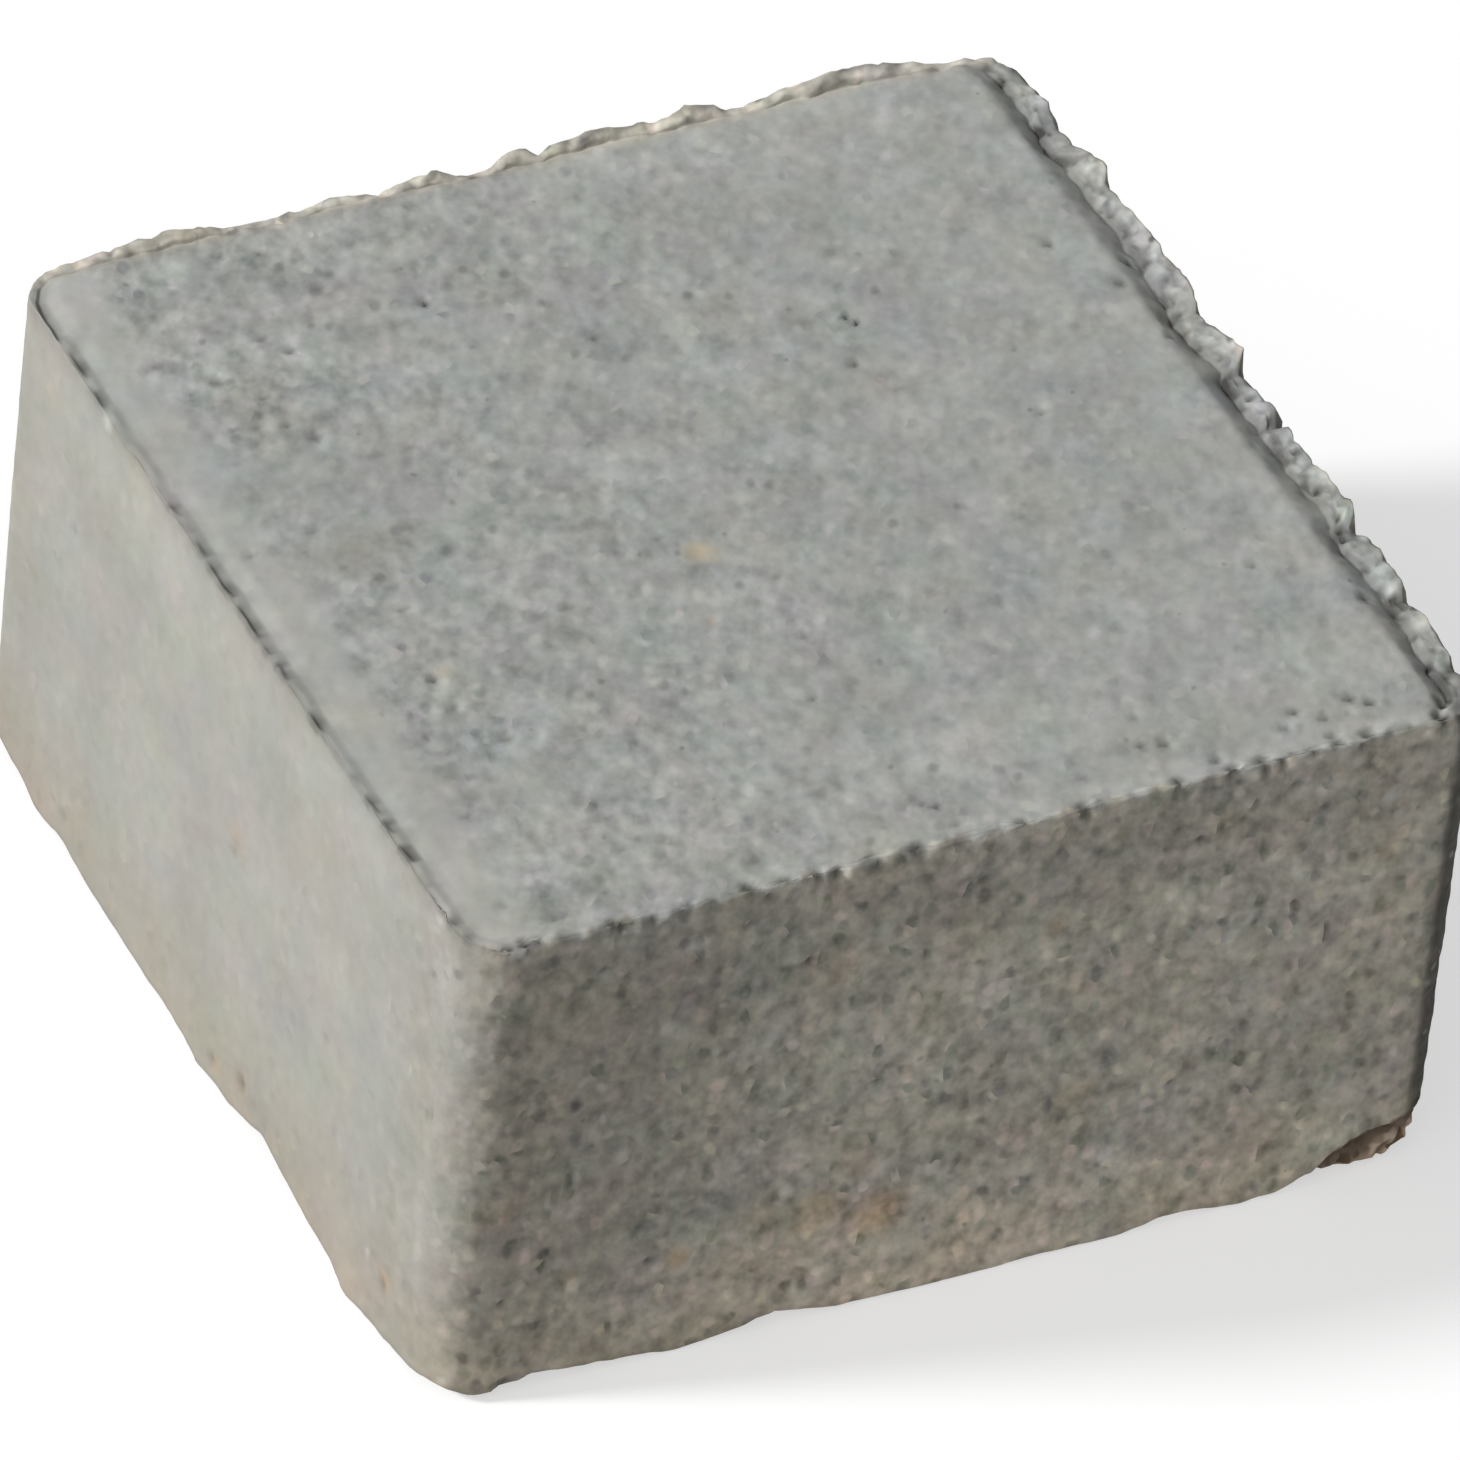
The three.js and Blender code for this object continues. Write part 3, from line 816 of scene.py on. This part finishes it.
        # Along the left groove: dirt, and painted shade where the groove lies in shadow, in beads along it
        beads = 0.4 + 0.5 * grains(cut.spot.to_3d(), pitch=2.4)
        away = (place - cut.rings[FLANK]).length
        groove_dirt_and_shade = faded(away, 0.5, 1.5) * max(0.3, beads * eased(cut.opening, LEAST_OPENING, 1.0))
        groove_dirt_and_shade *= 0.1 + 0.9 * cut.share(LEFT)
        # On the right burr: grime, and painted shade in the creases between lumps, in its dips and on the
        # flank past the groove
        burr = 0.05 + 0.5 * faded(lumps, 0.15, 0.6) + 0.5 * cut.dip
        burr += 0.45 * bump(row, CHAMFER_ROWS + 1, 4.5)
        burr *= cut.value(BURR_GRIME_AND_SHADE) * eased(row, CHAMFER_ROWS - 2, CHAMFER_ROWS)
        return height, max(0.8 * pit * rough, groove_dirt_and_shade, burr)

    def side_relief(self, cut, place):
        """Height of the plain sides and the lower arris, and the painted shade in their pores."""
        rough = cut.value(SIDE_ROUGHNESS)
        height = 0.2 * rise(place, pitch=30)
        height += rough * (0.2 * grains(place, pitch=2.4) - 0.1 + 0.12 * rise(place, pitch=4.5))
        pit = hollows(place, pitch=6.0, radius=1.1, filled=0.12 + 0.2 * rough)
        height -= (0.2 + 0.3 * rough) * pit
        return height * clamped(place.z / 2.0), 0.6 * pit * rough

    def colouring(self):
        """Notes the broad changes of tone, with its painted light and shade, dustiness and openness of the
        skin.
        """
        names = ("top", "smooth", "dust", "open", "crumbly")
        top, smooth, dust, openness, crumbly = (self.layers[name] for name in names)
        for vert in self.bm.verts:
            row = self.rows[vert]
            place = vert.co
            cut, _ = self.section_of(vert)
            on_burr = cut.value(BURR_OPENNESS) if cut else 0.0
            on_top = self.top_share(cut, row, place)
            tone, vert[dust] = self.wearing_tone(place)
            vert[openness] = self.wearing_open(place)
            if CHAMFER_ROWS < row <= CREST_ROW:
                opened = on_burr * eased(row, CHAMFER_ROWS, CHAMFER_ROWS + 3)
                vert[openness] += (1 - vert[openness]) * opened
            if CHAMFER_ROWS < row <= RIM_ROWS:
                vert[crumbly] = on_burr * bump(row, BRINK_ROW, BRINK_REACH + 2)
            if row > 0:
                on_left = cut.share(LEFT) if row <= SKIRT_ROWS else 0.0
                vert[smooth] = on_left * (1 - on_top)
                side_tone, side_dust = self.side_tone(cut, place, on_left)
                tone = side_tone + (tone - side_tone) * on_top
                # Painted shade over the rounded brink, which dulls its highlight
                brink = cut.value(BRINK_PAINTED_SHADES) if cut else 0.0
                tone *= 1 - brink * bump(row, BRINK_ROW, BRINK_REACH)
                vert[dust] = side_dust + (vert[dust] - side_dust) * on_top
                side_open = 1 - on_left * (0.85 - 0.15 * eased(-place.y, 45, 70))
                vert[openness] = side_open + (vert[openness] - side_open) * on_top
            vert[top] = on_top
            # The cast holds the tone too, and so its painted light and shade
            vert[self.cast] = self.cast_of(place) * tone
        self.mark("dust", STAINS)

    @staticmethod
    def top_share(cut, row, place):
        """How much of the wearing face's colour a place has: the sides' colour strays on to it."""
        if row <= 0:
            return 1.0
        if row > SKIRT_ROWS:
            return 0.0
        drawn_in = (cut.spot - place.xy).length if row <= CREST_ROW else 0.0
        drawn_in += cut.value(JAGS) * rise(cut.spot.to_3d(), pitch=3.2)
        return eased(drawn_in, 0.0, 0.9) * faded(row, CREST_ROW, CREST_ROW + 2)

    @staticmethod
    def cast_of(place):
        """A broad, faint cast of the cement at a place, as a multiplier of its colour."""
        red, green, blue = (rise(place, pitch=10, layer=layer) for layer in (0, 40, 80))
        shade = 1 + 0.09 * rise(place, pitch=14, octaves=2, layer=300)
        return Vector((1 + 0.05 * red, 1 + 0.02 * green, 1 + 0.05 * blue)) * shade

    def side_tone(self, cut, place, on_left):
        """Lightness and dustiness of the sides, by the depth below the wearing face, with painted shade on
        the front's right corner.
        """
        on_front = cut.share(FRONT) if cut else 0.0
        below = self.face - place.z
        tone = on_left * left_tone(place, below) + on_front * front_tone(place, below)
        tone += 1 - on_left - on_front
        turned = math.degrees(math.atan2(cut.facing.x, -cut.facing.y)) if cut else 0.0
        # Painted shade where the rounded right corner of the front turns away from the light
        tone *= 1 - 0.78 * eased(turned, 11, 27) * faded(turned, 70, 88)
        dust = 0.25 * eased(below, 56, 78)
        dusty = 0.15 * rise(place, pitch=18, octaves=2)
        dust += on_front * (0.03 + dusty + 0.08 * faded(place.x, -66, -40))
        dust += on_left * 0.07 * eased(abs(place.y), 48, 66)
        return tone, max(0.0, dust)

    def wearing_tone(self, place):
        """Lightness and dustiness of the wearing face, by the distance from each edge, with painted light
        and shade along the left.
        """
        half = self.outline.half
        left, right = place.x + half.x, half.x - place.x
        front, back = place.y + half.y, half.y - place.y
        # Along the left: painted light on a band whose gentle slope faces the light, and painted shade by
        # the groove
        band = faded(left + 1.2 * rise(place, pitch=9, octaves=2), 6.5, 12)
        lightness = 1 + 0.16 * band - 0.14 * faded(left, 1.5, 4)
        # The back edge and the front edge
        lightness += (0.14 - 0.05 * band) * faded(back, 4, 16)
        lightness += 0.2 * faded(back, 1.5, 3) + 0.15 * faded(back, 0.5, 3)
        lightness += 0.12 * faded(front, 2, 5) * (1 - band) + 0.08 * bump(front, 17, 10)
        # Two pale patches towards the back, and a faint strip inside the right chamfer
        lightness += 0.07 * bump(left, 13, 16) * bump(back, 24, 30)
        lightness += 0.08 * bump(right, 38, 20) * bump(back, 13, 14) + 0.04 * bump(right, 10, 6)
        dust = (0.08 - 0.04 * eased(front, 60, 110)) * band
        dust += 0.3 * faded(back, 1.5, 5) + 0.04 * faded(front, 5, 30)
        return lightness, dust

    def wearing_open(self, place):
        """How open and pitted the skin of the wearing face is: least in a band along its left."""
        inner = eased(place.x + self.outline.half.x + 1.5 * rise(place, pitch=7, octaves=2), 7, 13)
        patches = clamped(0.55 + 0.6 * rise(place, pitch=24, octaves=2))
        return 0.16 + inner * (0.2 + 0.4 * clamped((30 - place.x) / 80) * patches)


def left_tone(place, below):
    """Lightness of the left side: painted shade just under the brink, where the rounded edge catches the
    light, paler a little lower, and darker at its foot and its ends.
    """
    tone = 0.985 + 0.05 * bump(below, 8, 10) - 0.1 * eased(below, 56, 76) - 0.15 * faded(below, 0, 4)
    return tone * (1 - 0.07 * eased(-place.y, 50, 66) - 0.05 * eased(place.y, 52, 66))


def front_tone(place, below):
    """Lightness of the front side: darker towards the left and the top, and paler at its foot."""
    tone = 1 - 0.14 * faded(below, 12, 24) + 0.12 * faded(below, 0.5, 4)
    tone += (0.24 + 0.2 * eased(place.x, -50, -20)) * eased(below, 56, 76) + 0.12 * eased(below, 71, 77)
    tone += 0.09 * faded(place.x, -68, -50) * faded(below, 4, 16)
    tone -= 0.14 * bump(place.x, -44, 20) * bump(below, 24, 18)
    tone += 0.12 * bump(place.x, 38, 22) * bump(below, 20, 12)
    tone += 0.08 * eased(place.x, 48, 62) * (1 - bump(below, 38, 34))
    return tone * (0.72 + 0.28 * eased(place.x, -72, -5))


def cast_stone(sizes):
    """The whole stone as a mesh, in metres."""
    outline = Outline(sizes)
    bm = bmesh.new()
    plain_block(bm, outline)
    shaping = Shaping(bm, sizes, outline)
    shaping.place_rows()
    shaping.spall()
    shaping.relief()
    shaping.colouring()
    bmesh.ops.scale(bm, verts=bm.verts, vec=(MM, MM, MM))
    for face in bm.faces:
        face.smooth = True
    mesh = bpy.data.meshes.new(PIECE)
    bm.to_mesh(mesh)
    bm.free()
    return mesh


# Materials


class Nodes:
    """Short calls that add nodes to one tree and join them. Values are sockets or numbers."""

    def __init__(self, tree):
        self.tree = tree

    def add(self, kind, **settings):
        """A new node, with its settings by name."""
        node = self.tree.nodes.new(kind)
        for name, value in settings.items():
            setattr(node, name, value)
        return node

    def feed(self, socket, value):
        """Joins a socket to another one, or sets its number."""
        if isinstance(value, bpy.types.NodeSocket):
            self.tree.links.new(value, socket)
        else:
            socket.default_value = value

    def math(self, operation, *values):
        node = self.add("ShaderNodeMath", operation=operation)
        for socket, value in zip(node.inputs, values):
            self.feed(socket, value)
        return node.outputs[0]

    def remap(self, value, low, high, to_low=0.0, to_high=1.0):
        """A value that runs smoothly from one number to another, between low and high."""
        node = self.add("ShaderNodeMapRange", interpolation_type="SMOOTHSTEP")
        names = ("Value", "From Min", "From Max", "To Min", "To Max")
        for name, number in zip(names, (value, low, high, to_low, to_high)):
            self.feed(node.inputs[name], number)
        return node.outputs["Result"]

    def vector(self, operation, *values):
        node = self.add("ShaderNodeVectorMath", operation=operation)
        sockets = [node.inputs[0], node.inputs["Scale"]] if operation == "SCALE" else node.inputs
        for socket, value in zip(sockets, values):
            self.feed(socket, value)
        return node.outputs["Value" if operation == "DOT_PRODUCT" else "Vector"]

    def mix(self, part, low, high):
        """A colour between two colours."""
        node = self.add("ShaderNodeMix", data_type="RGBA")
        self.feed(node.inputs[0], part)
        for socket, value in zip((node.inputs[6], node.inputs[7]), (low, high)):
            self.feed(socket, value if isinstance(value, bpy.types.NodeSocket) else (*value, 1))
        return node.outputs[2]

    def noise(self, place, pitch, detail=1.0, roughness=0.5):
        """Cloudy noise from about 0.2 to 0.8."""
        node = self.add("ShaderNodeTexNoise")
        self.feed(node.inputs["Vector"], place)
        self.feed(node.inputs["Scale"], self.math("DIVIDE", 1.0, pitch))
        self.feed(node.inputs["Detail"], detail)
        self.feed(node.inputs["Roughness"], roughness)
        return node.outputs["Fac"]

    def attribute(self, name, output="Fac"):
        return self.add("ShaderNodeAttribute", attribute_name=name).outputs[output]

    def shader(self, kind, **inputs):
        """A shader, with its inputs by name."""
        node = self.add(kind)
        for name, value in inputs.items():
            self.feed(node.inputs[name], value)
        return node.outputs[0]

    def mix_shaders(self, part, low, high):
        node = self.add("ShaderNodeMixShader")
        for socket, value in zip(node.inputs, (part, low, high)):
            self.feed(socket, value)
        return node.outputs[0]


def emptied(data, output_kind):
    """The tree of a material or world, cleared of its nodes, and the socket for its surface."""
    data.use_nodes = True
    data.node_tree.nodes.clear()
    nodes = Nodes(data.node_tree)
    return nodes, nodes.add(output_kind).inputs["Surface"]


def new_group(name, inputs, outputs):
    """A node group. Its inputs and outputs are given by label and kind."""
    tree = bpy.data.node_groups.new(name, "ShaderNodeTree")
    for in_out, sockets in (("INPUT", inputs), ("OUTPUT", outputs)):
        for label, kind in sockets:
            tree.interface.new_socket(name=label, in_out=in_out, socket_type="NodeSocket" + kind)
    nodes = Nodes(tree)
    return tree, nodes, nodes.add("NodeGroupInput").outputs, nodes.add("NodeGroupOutput").inputs


def patch_group():
    """Patchy cement: Tone runs from about -1 to 1."""
    inputs = (("Place", "Vector"), ("Size", "Float"))
    tree, nodes, given, out = new_group("patches", inputs, (("Tone", "Float"),))
    patches = nodes.noise(given["Place"], given["Size"], 2.0, 0.6)
    nodes.feed(out["Tone"], nodes.math("MULTIPLY_ADD", patches, 4.0, -2.0))
    return tree


def cells_in(nodes, given, size, scatter=1.0):
    """A cell pattern whose places are bent, with the parts of its random colour."""
    cells = nodes.add("ShaderNodeTexVoronoi")
    nodes.feed(cells.inputs["Randomness"], scatter)
    bent = nodes.vector("ADD", given["Place"], nodes.vector("SCALE", BEND_DIRECTION, given["Bend"]))
    nodes.feed(cells.inputs["Vector"], bent)
    nodes.feed(cells.inputs["Scale"], nodes.math("DIVIDE", 1.0, size))
    parts = nodes.add("ShaderNodeSeparateColor")
    nodes.feed(parts.inputs[0], cells.outputs["Color"])
    return cells.outputs, parts.outputs


def grain_group():
    """Sand grains: Light runs from -1 to 1, Crown is 1 in the middle of a grain, and Tint is a
    colour for each grain. Bend makes the grains uneven."""
    inputs = (("Place", "Vector"), ("Bend", "Float"), ("Size", "Float"))
    outputs = (("Light", "Float"), ("Crown", "Float"), ("Tint", "Color"))
    tree, nodes, given, out = new_group("sand", inputs, outputs)
    cells, parts = cells_in(nodes, given, given["Size"])
    crown = nodes.remap(cells["Distance"], 0.2, 0.6, 1.0, 0.0)
    light = nodes.math("MULTIPLY_ADD", parts[0], 2.0, -1.0)
    nodes.feed(out["Light"], nodes.math("MULTIPLY", light, crown))
    nodes.feed(out["Crown"], crown)
    nodes.feed(out["Tint"], cells["Color"])
    return tree


def speck_group():
    """Small specks at random places, such as pores or stones: Mask is 1 inside and 0 outside, and
    Pick is a number from 0 to 1 for each speck. Bend makes the specks uneven."""
    sizes = (("Spacing", "Float"), ("Radius", "Float"), ("Filled", "Float"))
    inputs = (("Place", "Vector"), ("Bend", "Float")) + sizes
    tree, nodes, given, out = new_group("specks", inputs, (("Mask", "Float"), ("Pick", "Float")))
    cells, parts = cells_in(nodes, given, given["Spacing"], scatter=0.75)
    chosen = nodes.math("LESS_THAN", parts[0], given["Filled"])
    size = nodes.math("MULTIPLY", given["Radius"], nodes.math("MULTIPLY_ADD", parts[1], 0.9, 0.4))
    away = nodes.math("DIVIDE", nodes.math("MULTIPLY", cells["Distance"], given["Spacing"]), size)
    nodes.feed(out["Mask"], nodes.math("MULTIPLY", nodes.remap(away, 0.3, 1.2, 1.0, 0.0), chosen))
    nodes.feed(out["Pick"], parts[2])
    return tree


def concrete_material(colours):
    """Dry concrete, coloured by the notes of the shaping and a grain of patches, sand and specks."""
    material = bpy.data.materials.new("dry_concrete")
    nodes, surface = emptied(material, "ShaderNodeOutputMaterial")
    slant = nodes.add("ShaderNodeMapping", vector_type="TEXTURE")
    nodes.feed(slant.inputs["Vector"], nodes.add("ShaderNodeTexCoord").outputs["Object"])
    nodes.feed(slant.inputs["Rotation"], GRAIN_TURN)
    nodes.feed(slant.inputs["Scale"], GRAIN_SCALE)
    place = slant.outputs["Vector"]
    noted = {name: nodes.attribute(name) for name in Shaping.ATTRIBUTES}

    def use(tree, **values):
        """The outputs of a node group that is laid over the grain's places."""
        node = nodes.add("ShaderNodeGroup", node_tree=tree)
        nodes.feed(node.inputs["Place"], place)
        for name, value in values.items():
            nodes.feed(node.inputs[name], value)
        return node.outputs

    patches = patch_group()
    tone = use(patches, Size=PATCH_SIZE)["Tone"]
    streaks = use(patches, Size=STREAK_SIZE)["Tone"]
    sand = use(grain_group(), Bend=tone, Size=SAND_SIZE)
    contrast = nodes.remap(noted["top"], 0.0, 1.0, SIDE_PATCH_CONTRAST, TOP_PATCH_CONTRAST)
    shade = nodes.math("MULTIPLY", tone, contrast)
    shade = nodes.math("MULTIPLY_ADD", streaks, STREAK_CONTRAST, shade)
    shade = nodes.math("MULTIPLY_ADD", sand["Light"], GRAIN_CONTRAST, shade)
    lightness = nodes.math("MULTIPLY_ADD", shade, noted["open"], 1.0)

    side = nodes.mix(noted["smooth"], colours.rough_side, colours.smooth_side)
    base = nodes.mix(noted["top"], side, colours.wearing)
    base = nodes.mix(noted["dust"], base, colours.dust)
    # The noted cast carries the tone too, with its painted light and shade
    base = nodes.vector("MULTIPLY", base, nodes.attribute("cast", "Vector"))
    tint = nodes.vector("SUBTRACT", sand["Tint"], (0.5, 0.5, 0.5))
    reach = nodes.math("MULTIPLY", nodes.math("MULTIPLY", sand["Crown"], noted["open"]), GRAIN_TINT)
    tint = nodes.vector("ADD", nodes.vector("SCALE", tint, reach), (1.0, 1.0, 1.0))
    base = nodes.vector("MULTIPLY", base, tint)
    base = nodes.vector("SCALE", base, lightness)

    filled = nodes.math("MULTIPLY_ADD", noted["open"], 0.9, -0.15)
    sizes = {"Spacing": SPECK_SPACING, "Radius": SPECK_RADIUS}
    specks = use(speck_group(), Bend=tone, Filled=filled, **sizes)
    # The specks that are pores are painted shade, and the others are pale stones
    is_stone = nodes.math("GREATER_THAN", specks["Pick"], PORE_SHARE)
    speck_colour = nodes.mix(is_stone, colours.hollow_shade, colours.pale_grain)
    contrast = nodes.math("MULTIPLY_ADD", noted["crumbly"], CRUMB_CONTRAST, SPECK_CONTRAST)
    base = nodes.mix(nodes.math("MULTIPLY", specks["Mask"], contrast), base, speck_colour)
    stones = nodes.remap(sand["Light"], -0.25, 0.3)
    laid_bare = nodes.mix(stones, colours.broken_dark, colours.broken_light)
    base = nodes.mix(noted["broken"], base, laid_bare)
    stone = nodes.mix(noted["broken"], colours.pale_grain, colours.broken_light)
    base = nodes.mix(nodes.math("MULTIPLY", noted["pale"], PALE_STRENGTH), base, stone)
    base = nodes.mix(noted["rust"], base, colours.rust)
    # Painted shade in pores, pits, grooves and the spall, with some dirt, laid on by its noted weight
    shaded = nodes.mix(noted["broken"], colours.hollow_shade, colours.seam)
    base = nodes.mix(nodes.math("MULTIPLY", noted["grime_and_shade"], GRIME_AND_SHADE_STRENGTH), base, shaded)

    lumps = nodes.add("ShaderNodeBump")
    height = nodes.noise(place, LUMP_SIZE, detail=0.0)
    nodes.feed(lumps.inputs["Distance"], LUMP_HEIGHT)
    nodes.feed(lumps.inputs["Height"], nodes.math("MULTIPLY", height, noted["open"]))
    roughness = nodes.remap(sand["Light"], -1.0, 1.0, 0.97, 0.86)
    inputs = {"Base Color": base, "Roughness": roughness, "Normal": lumps.outputs["Normal"]}
    nodes.feed(surface, nodes.shader("ShaderNodeBsdfPrincipled", **inputs))
    return material


def floor_material(shade):
    """A floor that throws back a set share of the light, and looks white to the camera."""
    material = bpy.data.materials.new("studio_floor")
    nodes, surface = emptied(material, "ShaderNodeOutputMaterial")
    plain = nodes.shader("ShaderNodeBsdfDiffuse", Color=(shade, shade, shade, 1))
    bright = nodes.shader("ShaderNodeBsdfDiffuse", Color=(SEEN_FLOOR_SHADE,) * 3 + (1,))
    glow = nodes.shader("ShaderNodeEmission", Strength=SEEN_FLOOR_GLOW)
    both = nodes.add("ShaderNodeAddShader")
    nodes.feed(both.inputs[0], bright)
    nodes.feed(both.inputs[1], glow)
    seen = nodes.add("ShaderNodeLightPath").outputs
    rays = nodes.math("MAXIMUM", seen["Is Camera Ray"], seen["Is Glossy Ray"])
    nodes.feed(surface, nodes.mix_shaders(rays, plain, both.outputs[0]))
    return material


def surround(ambient):
    """A world that is brightest towards one side, and white to the camera."""
    world = bpy.data.worlds.new("soft_surround")
    nodes, surface = emptied(world, "ShaderNodeOutputWorld")
    direction = nodes.add("ShaderNodeTexCoord").outputs["Generated"]
    towards = nodes.vector("DOT_PRODUCT", direction, SKY_DIRECTION)
    half = nodes.math("MULTIPLY_ADD", towards, 0.5, 0.5)
    strength = nodes.math("MULTIPLY", nodes.math("POWER", half, 2.0), ambient)
    white = (1, 1, 1, 1)
    light = nodes.shader("ShaderNodeBackground", Color=white, Strength=strength)
    backdrop = nodes.shader("ShaderNodeBackground", Color=white)
    seen = nodes.add("ShaderNodeLightPath").outputs["Is Camera Ray"]
    nodes.feed(surface, nodes.mix_shaders(seen, light, backdrop))
    return world


def add_object(name, data):
    thing = bpy.data.objects.new(name, data)
    bpy.context.scene.collection.objects.link(thing)
    return thing


class PAVING_OT_stone(bpy.types.Operator):
    """Casts the paving stone and gives it its concrete"""

    bl_idname = "paving.cast_stone"
    bl_label = "Cast stone"

    def execute(self, context):
        mesh = cast_stone(context.scene.stone_sizes)
        stone = add_object(PIECE, mesh)
        mesh.materials.append(concrete_material(context.scene.stone_colours))
        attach(stone, "root")
        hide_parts(NODE)
        return {"FINISHED"}


class PAVING_OT_stage(bpy.types.Operator):
    """Sets up the floor, the light and the camera"""

    bl_idname = "paving.studio_stage"
    bl_label = "Set up studio"

    def execute(self, context):
        scene = context.scene
        studio = scene.paving_studio
        bm = bmesh.new()
        bmesh.ops.create_grid(bm, x_segments=1, y_segments=1, size=studio.floor_size / 2)
        bmesh.ops.translate(bm, verts=bm.verts, vec=(0, 0, -studio.floor_drop))
        floor_mesh = bpy.data.meshes.new("studio_floor")
        bm.to_mesh(floor_mesh)
        bm.free()
        floor_mesh.materials.append(floor_material(studio.floor_shade))
        add_object("studio_floor", floor_mesh)

        sun = bpy.data.lights.new("key_sun", "SUN")
        sun.energy = studio.key_strength
        sun.angle = studio.key_softness
        key = add_object("key_sun", sun)
        key.rotation_mode = "QUATERNION"
        key.rotation_quaternion = KEY_DIRECTION.to_track_quat("Z", "Y")
        scene.world = surround(studio.ambient)

        lens = bpy.data.cameras.new("camera")
        lens.sensor_width = SENSOR_WIDTH
        lens.lens = studio.lens
        lens.clip_end = CLIP_END
        camera = add_object("camera", lens)
        azimuth, elevation = studio.azimuth, studio.elevation
        level = Vector((math.sin(azimuth), -math.cos(azimuth), 0))
        back = level * math.cos(elevation) + Vector((0, 0, math.sin(elevation)))
        turn = back.to_track_quat("Z", "Y") @ Quaternion((0, 0, 1), studio.roll)
        right, up = turn @ Vector((1, 0, 0)), turn @ Vector((0, 1, 0))
        middle = Vector((0, 0, FACE_HEIGHT / 2))
        aim = middle + right * studio.aim_right - up * studio.aim_down
        camera.rotation_mode = "QUATERNION"
        camera.rotation_quaternion = turn
        camera.location = aim + back * studio.distance
        scene.camera = camera
        scene.view_settings.view_transform = "Standard"
        return {"FINISHED"}


class PAVING_PT_sidebar(bpy.types.Panel):
    """Lists the stone's sizes and colours"""

    bl_idname = "PAVING_PT_sidebar"
    bl_label = "Paving Stone"
    bl_space_type = "VIEW_3D"
    bl_region_type = "UI"
    bl_category = "Paving Stone"

    def draw(self, context):
        scene = context.scene
        for settings in (scene.stone_sizes, scene.stone_colours, scene.paving_studio):
            for name in settings.__annotations__:
                self.layout.prop(settings, name)
        self.layout.operator(PAVING_OT_stone.bl_idname)
        self.layout.operator(PAVING_OT_stage.bl_idname)


CLASSES = (StoneSizes, StoneColours, StudioSettings, PAVING_OT_stone, PAVING_OT_stage, PAVING_PT_sidebar)


def register():
    for cls in CLASSES:
        bpy.utils.register_class(cls)
    bpy.types.Scene.stone_sizes = bpy.props.PointerProperty(type=StoneSizes)
    bpy.types.Scene.stone_colours = bpy.props.PointerProperty(type=StoneColours)
    bpy.types.Scene.paving_studio = bpy.props.PointerProperty(type=StudioSettings)


def unregister():
    del bpy.types.Scene.paving_studio
    del bpy.types.Scene.stone_colours
    del bpy.types.Scene.stone_sizes
    for cls in reversed(CLASSES):
        bpy.utils.unregister_class(cls)


def main():
    register()
    bpy.ops.paving.cast_stone()
    bpy.ops.paving.studio_stage()


if __name__ == "__main__":
    main()
